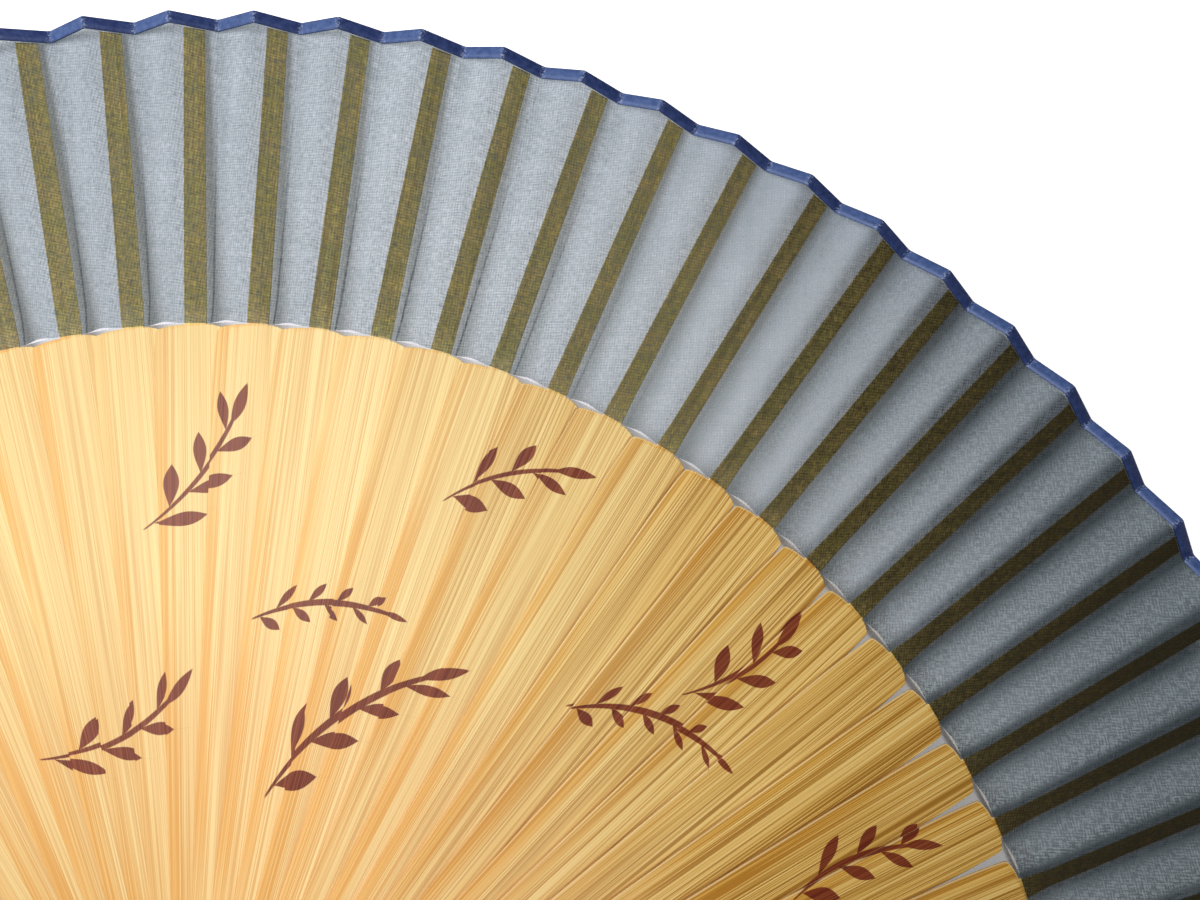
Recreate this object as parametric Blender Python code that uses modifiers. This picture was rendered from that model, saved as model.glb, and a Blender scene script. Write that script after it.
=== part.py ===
"""Folding fan, open, as it lies on a table: two guards, 33 sticks, rivet, pleated leaf and its edge binding.

The fan is modelled in its own frame: the rivet's axis is Z, the sticks lie in layers one above the other, and
the middle stick points along +Y. An empty then tips this frame by the two small angles at which the open fan
comes to rest on a table, with the flat end of the rivet's rear head at the world's origin. Angles of sticks run
clockwise, seen from the front, so the rear guard is at the left.
"""
import math

import bmesh
import bpy
import numpy as np
from mathutils import Euler, Vector

MM = 0.001

# distances from the rivet, each from the one before it
SHOULDER_RADIUS = 143.1 * MM
LEAF_ABOVE_SHOULDER = 0.15 * MM
LEAF_LENGTH = 54.75 * MM
GUARD_ABOVE_LEAF = 1.6 * MM
TONGUE_SHORT_OF_LEAF = 2.5 * MM
BULGE_BELOW_SHOULDER = 11.1 * MM
WAIST_RADIUS = 34.0 * MM
LEAF_INNER_RADIUS = SHOULDER_RADIUS + LEAF_ABOVE_SHOULDER
LEAF_RADIUS = LEAF_INNER_RADIUS + LEAF_LENGTH
GUARD_TOP_RADIUS = LEAF_RADIUS + GUARD_ABOVE_LEAF
TONGUE_END_RADIUS = LEAF_RADIUS - TONGUE_SHORT_OF_LEAF
BULGE_RADIUS = SHOULDER_RADIUS - BULGE_BELOW_SHOULDER

# leaf and pleats
LEAF_THICKNESS = 0.16 * MM
PLEAT_HEIGHT = 3.0 * MM
TAPE_WIDTH = 2.2 * MM
TAPE_THICKNESS = 0.1 * MM

# sticks
STICK_COUNT = 33
PITCH = math.radians(4.25)
BLADE_THICKNESS = 0.38 * MM
HEAD_RADIUS = 5.0 * MM
WAIST_WIDTH = 7.4 * MM
BULGE_EXCESS = 0.55 * MM
CORNER_RADIUS = 0.9 * MM
CORNER_DROP = 0.45 * MM
SHOULDER_WIDTH_LEFT = 11.6 * MM
SHOULDER_WIDTH_RIGHT = 9.0 * MM
WIDTH_CHANGE_MIDDLE = 25
WIDTH_CHANGE_REACH = 7

# tongues, the thin stick ends glued behind the leaf
TONGUE_TURN = math.radians(0.32)
TONGUE_ROOT_WIDTH = 3.4 * MM
TONGUE_END_WIDTH = 3.2 * MM
TONGUE_THICKNESS = 0.2 * MM
TWIST_BELOW_SHOULDER = 1.1 * MM
TWIST_LENGTH = 7.0 * MM
TWIST_BANDS = 6
TWIST_START = SHOULDER_RADIUS - TWIST_BELOW_SHOULDER
TWIST_END = TWIST_START + TWIST_LENGTH
TWIST_RINGS = [
    LEAF_INNER_RADIUS + (TWIST_END - LEAF_INNER_RADIUS) * band / TWIST_BANDS for band in range(TWIST_BANDS + 1)
]

# guards
GUARD_THICKNESS = 2.4 * MM
GUARD_LEAF_THICKNESS = 0.95 * MM
GUARD_HEAD_RADIUS = 5.3 * MM
GUARD_WAIST_WIDTH = 8.4 * MM
GUARD_SHOULDER_WIDTH = 11.8 * MM
GUARD_NECK_WIDTH = 9.8 * MM
GUARD_NECK_ABOVE_SHOULDER = 14.9 * MM
GUARD_TOP_WIDTH = 9.4 * MM
GUARD_CORNER = 2.6 * MM
GUARD_STEP_BELOW_LEAF = 0.7 * MM
GUARD_STEP_LENGTH = 3.4 * MM
GUARD_EDGE = 0.45 * MM
GUARD_NECK_RADIUS = SHOULDER_RADIUS + GUARD_NECK_ABOVE_SHOULDER
GUARD_STEP_END = LEAF_INNER_RADIUS - GUARD_STEP_BELOW_LEAF
GUARD_STEP_START = GUARD_STEP_END - GUARD_STEP_LENGTH

# rivet
PIN_RADIUS = 1.6 * MM
RIVET_HEAD_RADIUS = 3.3 * MM
RIVET_HEAD_DOME = 1.4 * MM
RIVET_FLAT_RADIUS = 1.5 * MM

# clearances
LAYER_GAP = 0.07 * MM
REAR_GUARD_GAP = 0.1 * MM
FRONT_GUARD_GAP = 0.45 * MM
PIN_GAP = 0.1 * MM
RIVET_HEAD_GAP = 0.1 * MM
GLUE_GAP = 0.06 * MM
TAPE_GAP = 0.05 * MM

# how the open fan lies on the table
LIE_ABOUT_X = math.radians(-2.79)
LIE_ABOUT_Y = math.radians(1.70)

# derived heights in the fan's own frame
LAYER = BLADE_THICKNESS + LAYER_GAP
FIRST_LAYER = GUARD_THICKNESS + REAR_GUARD_GAP + BLADE_THICKNESS / 2
STACK_TOP = FIRST_LAYER + (STICK_COUNT - 1) * LAYER + BLADE_THICKNESS / 2
FRONT_GUARD_BOTTOM = STACK_TOP + FRONT_GUARD_GAP
FRONT_GUARD_TOP = FRONT_GUARD_BOTTOM + GUARD_THICKNESS
PANEL = PITCH / 4
TILT = math.atan(PLEAT_HEIGHT / (2 * LEAF_RADIUS * math.tan(PANEL)))
LEAF_OVER_TONGUE = TONGUE_THICKNESS / 2 + GLUE_GAP + LEAF_THICKNESS / 2
TAPE_OFFSET = LEAF_THICKNESS / 2 + TAPE_GAP + TAPE_THICKNESS / 2
LEAF_SEAT = TAPE_OFFSET + TAPE_THICKNESS / 2 + GLUE_GAP
DOME_START = math.asin(RIVET_FLAT_RADIUS / RIVET_HEAD_RADIUS)
RIVET_END = RIVET_HEAD_GAP + RIVET_HEAD_DOME * math.cos(DOME_START)


def stick_angle(index):
    """Clockwise angle of stick number index from +Y, counted from the rear guard as 0."""
    return (index - (STICK_COUNT + 1) / 2) * PITCH


def stick_height(index):
    """Height of the middle of stick number index in the stack."""
    return FIRST_LAYER + (index - 1) * LAYER


def smooth(t):
    """Smooth step from 0 to 1."""
    t = np.clip(t, 0.0, 1.0)
    return t * t * (3 - 2 * t)


def twist(radius):
    """Angle by which a tongue and the leaf's facet on it are turned about the stick at this radius."""
    return TILT * smooth((radius - TWIST_START) / (TWIST_END - TWIST_START))


def tongue_middle(radius):
    """How far a tongue's middle line lies to the right of its blade's middle line at this radius."""
    return radius * math.tan(TONGUE_TURN)


def shoulder_width(index):
    """Sticks are wider in the fan's left half than in its right half, as the overlaps and gaps show."""
    step = np.clip((index - WIDTH_CHANGE_MIDDLE) / WIDTH_CHANGE_REACH, -1, 1)
    middle = (SHOULDER_WIDTH_LEFT + SHOULDER_WIDTH_RIGHT) / 2
    return middle - step * (SHOULDER_WIDTH_LEFT - SHOULDER_WIDTH_RIGHT) / 2


def clear_scene():
    for item in list(bpy.data.objects):
        bpy.data.objects.remove(item, do_unlink=True)
    for group in list(bpy.data.collections):
        bpy.data.collections.remove(group)


def new_collection(name):
    group = bpy.data.collections.new(name)
    bpy.context.scene.collection.children.link(group)
    return group


def material(name, colour, roughness, metallic=0.0):
    made = bpy.data.materials.new(name)
    made.use_nodes = True
    shader = made.node_tree.nodes["Principled BSDF"]
    shader.inputs["Base Color"].default_value = (*colour, 1.0)
    shader.inputs["Roughness"].default_value = roughness
    shader.inputs["Metallic"].default_value = metallic
    made.diffuse_color = (*colour, 1.0)
    return made


def empty(name, group, parent=None, location=(0, 0, 0), rotation=(0, 0, 0)):
    made = bpy.data.objects.new(name, None)
    group.objects.link(made)
    made.parent = parent
    made.location = location
    made.rotation_euler = rotation
    made.empty_display_size = 0.01
    return made


def add_object(name, mesh, group, look, parent):
    made = bpy.data.objects.new(name, mesh)
    group.objects.link(made)
    made.parent = parent
    mesh.materials.clear()
    mesh.materials.append(look)
    return made


def side_profile(head, waist, bulge, shoulder, corner):
    """Right-hand side of a stick from its head up to its rounded shoulder corner, as (x, y) points.

    The head is an arc about the rivet. A half cosine leads to the waist, a straight taper to the widest place,
    and a shallow curve in to the shoulder, where an arc rounds the corner.
    """
    points = []
    for angle in np.linspace(-90, 18, 9):
        turn = math.radians(angle)
        points.append((head * math.cos(turn), head * math.sin(turn)))
    start_x, start_y = points[-1]
    for t in np.linspace(0, 1, 6)[1:]:
        fall = (1 - math.cos(math.pi * t)) / 2
        points.append((start_x + (waist - start_x) * fall, start_y + (WAIST_RADIUS - start_y) * t))
    points.append((bulge, BULGE_RADIUS))
    end_y = SHOULDER_RADIUS * math.cos(shoulder / SHOULDER_RADIUS) - CORNER_DROP - corner
    for t in (0.4, 0.75, 1.0):
        y = BULGE_RADIUS + (end_y - BULGE_RADIUS) * t
        points.append((bulge + (shoulder - bulge) * t * t, y))
    for angle in (25, 50, 75):
        turn = math.radians(angle)
        points.append((shoulder - corner + corner * math.cos(turn), end_y + corner * math.sin(turn)))
    return points


def outline_with_tongue(index):
    """Closed outline of a stick: both sides, the slightly convex shoulder line and the tongue.

    The tongue is turned a little to the right about the rivet, so more of the shoulder lies to its left.
    """
    shoulder = shoulder_width(index) / 2
    side = side_profile(HEAD_RADIUS, WAIST_WIDTH / 2, shoulder + BULGE_EXCESS / 2, shoulder, CORNER_RADIUS)
    last_x, last_y = side[-1]
    halves = []
    for hand in (1, -1):
        half = list(side)
        root = TONGUE_ROOT_WIDTH / 2 + hand * tongue_middle(SHOULDER_RADIUS)
        for t in (0.4, 0.8):
            x = last_x + (root - last_x) * t
            y = last_y + (SHOULDER_RADIUS - last_y) * (1 - (1 - t) ** 2)
            half.append((x, y))
        half.append((root, SHOULDER_RADIUS))
        half.append((TONGUE_END_WIDTH / 2 + hand * tongue_middle(TONGUE_END_RADIUS), TONGUE_END_RADIUS))
        halves.append(half)
    return halves[0] + [(-x, y) for x, y in reversed(halves[1]) if abs(x) > 1e-9]


def outline_of_guard():
    """Closed outline of a guard: the stick's outline carried on past the shoulder to the top of the leaf."""
    side = []
    for angle in np.linspace(-90, 18, 11):
        turn = math.radians(angle)
        side.append((GUARD_HEAD_RADIUS * math.cos(turn), GUARD_HEAD_RADIUS * math.sin(turn)))
    start_x, start_y = side[-1]
    for t in np.linspace(0, 1, 7)[1:]:
        fall = (1 - math.cos(math.pi * t)) / 2
        y = start_y + (WAIST_RADIUS - start_y) * t
        side.append((start_x + (GUARD_WAIST_WIDTH / 2 - start_x) * fall, y))
    side.append((GUARD_SHOULDER_WIDTH / 2, BULGE_RADIUS))
    for t in np.linspace(0, 1, 6)[1:]:
        fall = (1 - math.cos(math.pi * t)) / 2
        y = BULGE_RADIUS + (GUARD_NECK_RADIUS - BULGE_RADIUS) * t
        side.append(((GUARD_SHOULDER_WIDTH + (GUARD_NECK_WIDTH - GUARD_SHOULDER_WIDTH) * fall) / 2, y))
    for angle in np.linspace(0, 90, 5):
        turn = math.radians(angle)
        x = GUARD_TOP_WIDTH / 2 - GUARD_CORNER * (1 - math.cos(turn))
        side.append((x, GUARD_TOP_RADIUS - GUARD_CORNER * (1 - math.sin(turn))))
    return side + [(-x, y) for x, y in reversed(side) if abs(x) > 1e-9]


def plate(name, outline, thickness, hole_radius, hole_points=16):
    """Flat plate cut to an outline with a round rivet hole, centred on its own mid-plane."""
    curve = bpy.data.curves.new(name, "CURVE")
    curve.dimensions = "2D"
    curve.fill_mode = "BOTH"
    curve.extrude = thickness / 2
    hole = []
    for step in range(hole_points):
        turn = 2 * math.pi * step / hole_points
        hole.append((hole_radius * math.cos(turn), hole_radius * math.sin(turn)))
    for loop in (outline, hole):
        spline = curve.splines.new("POLY")
        spline.points.add(len(loop) - 1)
        for point, (x, y) in zip(spline.points, loop):
            point.co = (x, y, 0, 1)
        spline.use_cyclic_u = True
    carrier = bpy.data.objects.new(name, curve)
    bpy.context.scene.collection.objects.link(carrier)
    bpy.context.view_layer.update()
    mesh = bpy.data.meshes.new_from_object(carrier)
    bpy.data.objects.remove(carrier, do_unlink=True)
    bpy.data.curves.remove(curve)
    mesh.name = name
    return mesh


def cut_rings(shape, radii):
    """Cut a plate across at these distances from the rivet, so that it can bend there."""
    for radius in radii:
        bmesh.ops.bisect_plane(
            shape,
            geom=shape.verts[:] + shape.edges[:] + shape.faces[:],
            plane_co=(0, radius, 0),
            plane_no=(0, 1, 0),
            dist=1e-7,
        )


def stick_mesh(index):
    """A blade with its tongue: the tongue thins at the shoulder and twists until it lies along the pleat."""
    mesh = plate(f"stick_{index:02d}", outline_with_tongue(index), BLADE_THICKNESS, PIN_RADIUS + PIN_GAP)
    shape = bmesh.new()
    shape.from_mesh(mesh)
    bmesh.ops.remove_doubles(shape, verts=shape.verts[:], dist=1e-7)
    cut_rings(shape, TWIST_RINGS)
    for vertex in shape.verts:
        x, y, z = vertex.co
        if y > SHOULDER_RADIUS + 0.1 * MM:
            thin = smooth((y - SHOULDER_RADIUS) / (LEAF_INNER_RADIUS - SHOULDER_RADIUS))
            z *= 1 + (TONGUE_THICKNESS / BLADE_THICKNESS - 1) * thin
            turn = float(twist(y))
            middle = tongue_middle(y)
            x -= middle
            vertex.co = (
                middle + x * math.cos(turn) + z * math.sin(turn),
                y,
                z * math.cos(turn) - x * math.sin(turn),
            )
    bmesh.ops.recalc_face_normals(shape, faces=shape.faces[:])
    shape.to_mesh(mesh)
    shape.free()
    return mesh


def guard_mesh(name, inner_side):
    """A guard, thinner along the leaf, so that the pleats have room when the fan is shut."""
    mesh = plate(name, outline_of_guard(), GUARD_THICKNESS, PIN_RADIUS + PIN_GAP)
    shape = bmesh.new()
    shape.from_mesh(mesh)
    bmesh.ops.remove_doubles(shape, verts=shape.verts[:], dist=1e-7)
    cut_rings(shape, (GUARD_STEP_START, GUARD_STEP_END))
    drop = GUARD_THICKNESS - GUARD_LEAF_THICKNESS
    for vertex in shape.verts:
        x, y, z = vertex.co
        if z * inner_side > 0:
            fall = min(max((y - GUARD_STEP_START) / (GUARD_STEP_END - GUARD_STEP_START), 0.0), 1.0)
            vertex.co.z = z - inner_side * drop * fall
    bmesh.ops.recalc_face_normals(shape, faces=shape.faces[:])
    bmesh.ops.dissolve_limit(shape, angle_limit=0.002, verts=shape.verts[:], edges=shape.edges[:])
    cut_rings(shape, (WAIST_RADIUS, BULGE_RADIUS))
    shape.to_mesh(mesh)
    shape.free()
    return mesh


def fold_lines():
    """The leaf's folds from left to right, as (angle, stick height, side): side is 1 high, -1 low, 0 flat.

    The folds follow the tongues, and the leaf's two ends the middle lines of the guards.
    """
    last = STICK_COUNT + 1
    rear = GUARD_LEAF_THICKNESS + LEAF_SEAT
    front = FRONT_GUARD_TOP - GUARD_LEAF_THICKNESS - LEAF_SEAT
    folds = [(stick_angle(0) - PANEL, rear, 0), (stick_angle(0) + TONGUE_TURN + PANEL, rear, 0)]
    for index in range(1, last):
        height = stick_height(index) + LEAF_OVER_TONGUE / math.cos(TILT)
        folds.append((stick_angle(index) + TONGUE_TURN - PANEL, height, 1))
        folds.append((stick_angle(index) + TONGUE_TURN + PANEL, height, -1))
    folds += [(stick_angle(last) + TONGUE_TURN - PANEL, front, 0), (stick_angle(last) + PANEL, front, 0)]
    return folds


def pleated_grid(name, radii, lifts):
    """A grid folded into pleats: one column for each fold and one row for each (radius, lift) pair.

    A point of fold (angle, height, side) at radius r lies at (r sin angle, r cos angle) and at height
    height + side * r * tan(PANEL) * tan(twist(r)) + lift / cos(twist(r)).
    """
    folds = fold_lines()
    shape = bmesh.new()
    bmesh.ops.create_grid(shape, x_segments=len(folds) - 1, y_segments=len(radii) - 1, size=1.0)
    columns = sorted({round(v.co.x, 5) for v in shape.verts})
    rows = sorted({round(v.co.y, 5) for v in shape.verts})
    for vertex in shape.verts:
        angle, height, side = folds[columns.index(round(vertex.co.x, 5))]
        row = rows.index(round(vertex.co.y, 5))
        radius = radii[row]
        bend = float(twist(radius))
        rise = side * radius * math.tan(PANEL) * math.tan(bend)
        lift = lifts[row] / math.cos(bend if side else 0.0)
        along = radius / math.cos(PANEL)
        vertex.co = (along * math.sin(angle), along * math.cos(angle), height + rise + lift)
    mesh = bpy.data.meshes.new(name)
    shape.to_mesh(mesh)
    shape.free()
    return mesh


def thicken(made, thickness):
    wall = made.modifiers.new("thickness", "SOLIDIFY")
    wall.thickness = thickness
    wall.offset = 0.0
    wall.use_even_offset = True
    wall.use_rim = True


def rivet_mesh():
    """Pin and two domed heads as one turned body."""
    half = []
    for t in np.linspace(0, 1, 5):
        turn = DOME_START + (math.pi / 2 - DOME_START) * t
        half.append((RIVET_HEAD_RADIUS * math.sin(turn), RIVET_HEAD_GAP + RIVET_HEAD_DOME * math.cos(turn)))
    half = [(0.0, RIVET_END)] + half + [(PIN_RADIUS, RIVET_HEAD_GAP)]
    profile = [(radius, -height) for radius, height in half]
    profile += [(radius, FRONT_GUARD_TOP + height) for radius, height in reversed(half)]
    shape = bmesh.new()
    line = [shape.verts.new((radius, 0, height)) for radius, height in profile]
    for first, second in zip(line, line[1:]):
        shape.edges.new((first, second))
    bmesh.ops.spin(
        shape,
        geom=shape.verts[:] + shape.edges[:],
        cent=(0, 0, 0),
        axis=(0, 0, 1),
        dvec=(0, 0, 0),
        angle=2 * math.pi,
        steps=24,
        use_merge=True,
    )
    bmesh.ops.remove_doubles(shape, verts=shape.verts[:], dist=1e-7)
    bmesh.ops.recalc_face_normals(shape, faces=shape.faces[:])
    mesh = bpy.data.meshes.new("rivet")
    shape.to_mesh(mesh)
    shape.free()
    for face in mesh.polygons:
        face.use_smooth = True
    mesh.set_sharp_from_angle(angle=math.radians(35))
    return mesh


def soften_edges(made):
    edge = made.modifiers.new("worn edges", "BEVEL")
    edge.width = GUARD_EDGE
    edge.segments = 1
    edge.limit_method = "ANGLE"
    edge.angle_limit = math.radians(60)


def build():
    clear_scene()
    group = new_collection("folding_fan")
    bamboo = material("bamboo", (0.86, 0.60, 0.25), 0.42)
    guard_bamboo = material("guard_bamboo", (0.80, 0.53, 0.21), 0.38)
    gauze = material("gauze", (0.26, 0.31, 0.36), 0.85)
    paper = material("edge_paper", (0.032, 0.061, 0.19), 0.5)
    resin = material("rivet_resin", (0.045, 0.022, 0.012), 0.35)

    lie = Euler((LIE_ABOUT_X, LIE_ABOUT_Y, 0.0))
    frame = empty("fan_frame", group, location=lie.to_matrix() @ Vector((0, 0, RIVET_END)), rotation=lie)

    rear_axis = empty("rear_guard_axis", group, frame, rotation=(0, 0, -stick_angle(0)))
    rear = add_object("guard_rear", guard_mesh("guard_rear", 1), group, guard_bamboo, rear_axis)
    rear.location.z = GUARD_THICKNESS / 2
    soften_edges(rear)

    for index in range(1, STICK_COUNT + 1):
        name = f"stick_{index:02d}"
        axis = empty(f"axis_{index:02d}", group, frame, rotation=(0, 0, -stick_angle(index)))
        blade = add_object(name, stick_mesh(index), group, bamboo, axis)
        blade.location.z = stick_height(index)

    last = STICK_COUNT + 1
    front_axis = empty("front_guard_axis", group, frame, rotation=(0, 0, -stick_angle(last)))
    front = add_object("guard_front", guard_mesh("guard_front", -1), group, guard_bamboo, front_axis)
    front.location.z = FRONT_GUARD_BOTTOM + GUARD_THICKNESS / 2
    soften_edges(front)

    add_object("rivet", rivet_mesh(), group, resin, frame)

    rings = [*TWIST_RINGS, LEAF_RADIUS]
    leaf = add_object("leaf", pleated_grid("leaf", rings, [0.0] * len(rings)), group, gauze, frame)
    thicken(leaf, LEAF_THICKNESS)

    tape_inner = LEAF_RADIUS - TAPE_WIDTH
    tape_outer = LEAF_RADIUS + TAPE_GAP + TAPE_THICKNESS / 2
    wrap = [tape_inner, tape_outer, tape_outer, tape_inner]
    offsets = [TAPE_OFFSET, TAPE_OFFSET, -TAPE_OFFSET, -TAPE_OFFSET]
    binding = add_object("edge_binding", pleated_grid("edge_binding", wrap, offsets), group, paper, frame)
    thicken(binding, TAPE_THICKNESS)


build()
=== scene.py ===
"""Looks of the open folding fan: bamboo sticks and guards, rivet, pleated gauze and its paper edge.

Shapes are worked out in millimetres in the fan's own frame: the rivet's axis is Z, the middle stick points
along +Y, and the angles of the sticks run clockwise. to_row turns them into the part's frame, in metres.
"""

import math

import bmesh
import bpy
import numpy as np
from mathutils import Euler, Matrix, Vector


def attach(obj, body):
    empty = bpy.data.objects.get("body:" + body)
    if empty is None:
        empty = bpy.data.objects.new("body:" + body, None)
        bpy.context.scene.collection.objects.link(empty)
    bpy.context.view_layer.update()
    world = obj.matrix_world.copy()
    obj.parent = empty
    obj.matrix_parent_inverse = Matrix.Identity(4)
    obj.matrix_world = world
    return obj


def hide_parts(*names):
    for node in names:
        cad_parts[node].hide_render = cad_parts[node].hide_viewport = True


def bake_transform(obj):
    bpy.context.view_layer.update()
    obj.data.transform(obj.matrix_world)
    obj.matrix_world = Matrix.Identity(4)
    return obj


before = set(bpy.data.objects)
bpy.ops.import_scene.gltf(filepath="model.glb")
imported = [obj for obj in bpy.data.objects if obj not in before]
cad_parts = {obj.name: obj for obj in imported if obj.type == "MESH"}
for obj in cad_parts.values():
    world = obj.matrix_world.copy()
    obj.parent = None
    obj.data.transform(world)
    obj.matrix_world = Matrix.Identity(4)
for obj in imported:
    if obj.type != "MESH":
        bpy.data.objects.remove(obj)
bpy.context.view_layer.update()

# angles: from one stick to the next, of half a facet of the leaf, and of a tongue from its stick's middle
PITCH = math.radians(4.25)
PANEL = PITCH / 4
TONGUE_TURN = math.radians(0.32)

# the stack of sticks: heights of their middles over the rear guard's outer face
STICKS = 33
LAYER = 0.45
FIRST_LAYER = 2.69

# places along a stick, as distances from the rivet's axis
HEAD = 5.0
BORE = 1.7
HEAD_FACES_END = 8.0
WAIST = 34.0
BULGE = 132.0
SHOULDER = 143.1
TONGUE_END = 195.82
TWIST_START = 140.5
TWIST_LENGTH = 8.5
TWIST_END = TWIST_START + TWIST_LENGTH

# a stick's half widths, corners and thicknesses, and where its head's arc ends, in degrees from +X
HEAD_ARC_END = 18.0
HEAD_POINTS = 20
WAIST_HALF = 3.7
BULGE_PAST_SHOULDER = 0.275
SHOULDER_CORNER = 0.9
SHOULDER_DROP = 0.45
TONGUE_HALF = 1.8
TONGUE_TAPER = 0.1
BLADE = 0.38
BLADE_ROUNDING = 0.1
TONGUE = 0.2
FLAT_MARGIN = 0.12

# widths of the sticks at the shoulder, which fall by WIDTH_CHANGE before and after the middle of the change
STICK_WIDTH = 10.3
WIDTH_CHANGE = 1.3
WIDTH_CHANGE_MIDDLE = 25
WIDTH_CHANGE_STICKS = 7

# a guard: its head, half widths, thicknesses, and where it is cut thin beside the leaf
GUARD_HEAD = 5.3
GUARD_WAIST_HALF = 4.2
GUARD_HALF = 5.9
GUARD_SLIM = 158.0
GUARD_SLIM_HALF = 4.9
GUARD_TAPER = 0.2
GUARD_TOP = 199.6
GUARD_CORNER = 2.6
GUARD = 2.4
GUARD_THIN = 0.95
GUARD_ROUNDING = 0.45
GUARD_CUT = 139.15
GUARD_CUT_LENGTH = 3.4
FRONT_BOTTOM = 17.73
FRONT_TOP = FRONT_BOTTOM + GUARD

# the rivet: a pin with two domed heads, each with a flat end
PIN = 1.6
DOME = 3.3
DOME_HEIGHT = 1.4
DOME_GAP = 0.1
DOME_FLAT = 1.5
RIVET_END = DOME_GAP + DOME_HEIGHT * math.cos(math.asin(DOME_FLAT / DOME))
END_FACE = 1.3

# the leaf: radii, depth of its pleats, height of the cloth over tongues and guards, depth of a flat gore
LEAF_IN = 143.25
LEAF_OUT = 198.0
PLEAT_DEPTH = 3.0
TILT = math.atan(PLEAT_DEPTH / (2 * LEAF_OUT * math.tan(PANEL)))
FACET = 2 * LEAF_IN * math.tan(PANEL)
FOLD_ROUNDING = 0.05
CLOTH_OVER_TONGUE = 0.24
CLOTH_OVER_GUARD = 0.29
THREAD_PITCH = 0.5

# the paper edge: where it starts on front and back, its bend, how far its faces lie from the cloth, and its
# folds from the middle of a free facet
PAPER_FRONT = 195.9
PAPER_BACK = 196.0
PAPER_BEND = 197.95
PAPER_OUTSIDE = 0.20
PAPER_INSIDE = 0.11
PAPER_CREASE = 3.67

# places along tongues and leaf, closer together where they twist and at the tip
TONGUE_TIP = (195.2, 195.5, 195.7, TONGUE_END)
ALONG_TONGUE = np.concatenate(
    (np.linspace(SHOULDER + 0.05, TWIST_END, 14), np.linspace(152.0, 194.8, 8), TONGUE_TIP)
)
ALONG_LEAF = np.concatenate((np.linspace(LEAF_IN + 0.06, TWIST_END, 12), np.linspace(152.0, LEAF_OUT, 9)))

# how the open fan leans as it lies on the rear guard, the front guard's side and the rivet's end
LIE = np.array(Euler((math.radians(-2.79), math.radians(1.70), 0.0)).to_matrix())

# painted twigs: start x and y, turn, length, bend, leaf step, leaf length and lean, stem half width
TWIGS = (
    (-24.0, 106.0, 62.0, 30.0, -2.5, 7.6, 9.5, 38.0, 0.40),
    (25.0, 116.0, 15.0, 27.0, 3.0, 7.2, 9.0, 40.0, 0.40),
    (69.0, 88.0, 40.0, 25.0, -2.5, 7.4, 9.0, 40.0, 0.40),
    (-4.0, 93.0, 5.0, 26.0, 3.0, 5.2, 5.4, 44.0, 0.55),
    (2.0, 64.0, 38.0, 40.0, 5.0, 9.0, 10.0, 36.0, 0.65),
    (50.0, 84.0, -14.0, 30.0, 4.0, 5.4, 5.6, 44.0, 0.60),
    (-36.0, 66.0, 38.0, 30.0, -4.0, 7.6, 9.0, 38.0, 0.50),
    (90.0, 57.0, 24.0, 27.0, 3.0, 7.2, 8.4, 38.0, 0.45),
)

# bamboo colours: of dark, middling and pale fibres. The sticks' pale set is a painted highlight, wood
# washed out by strong light
WASHED_OUT_BAMBOO = ((0.79, 0.51, 0.20, 1), (0.88, 0.64, 0.28, 1), (0.94, 0.755, 0.365, 1))
GOLDEN_BAMBOO = ((0.38, 0.175, 0.022, 1), (0.72, 0.435, 0.105, 1), (0.90, 0.65, 0.25, 1))
GUARD_BAMBOO = ((0.42, 0.22, 0.07, 1), (0.74, 0.46, 0.17, 1), (0.88, 0.64, 0.30, 1))

# the table, in metres: half size, height, and the radii at which its rings under leaf and sticks fade in
TABLE_SIZE = 30.0
TABLE_HEIGHT = -0.00012
LEAF_RING = (0.1992, 0.1972)
STICK_RING = (0.1438, 0.1430)

# the camera, in the fan's frame: place, axes as columns and lens
CAMERA_PLACE = (43.084, 117.154, 158.403)
CAMERA_AXES = (
    (0.992202, -0.111932, -0.054834),
    (0.107896, 0.991570, -0.071742),
    (0.062402, 0.065266, 0.995915),
)
CAMERA_LENS = 25.623


def smooth(t):
    """3t^2 - 2t^3, with t held between 0 and 1."""
    t = np.clip(t, 0.0, 1.0)
    return t * t * (3 - 2 * t)


def twist(radius):
    """How far tongues and pleats are turned about the stick: none at the shoulder, TILT past it."""
    return TILT * smooth((radius - TWIST_START) / TWIST_LENGTH)


def stick_angle(index):
    """Clockwise angle of a stick from +Y. The guards count as sticks 0 and STICKS + 1."""
    return (index - (STICKS + 1) / 2) * PITCH


def stick_height(index):
    """Height of a stick's middle: each lies one LAYER over the last."""
    return FIRST_LAYER + (index - 1) * LAYER


def to_row(points):
    """Points of the fan's own frame, in millimetres, in the part's frame, in metres: lifted, then leaned."""
    return (points + np.array((0.0, 0.0, RIVET_END))) @ LIE.T * 0.001


def turned(points, angle):
    """Points turned clockwise about the rivet's axis."""
    c, s = math.cos(angle), math.sin(angle)
    x, y, z = points[..., 0], points[..., 1], points[..., 2]
    return np.stack((x * c + y * s, y * c - x * s, z), axis=-1)


# nodes and materials


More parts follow.
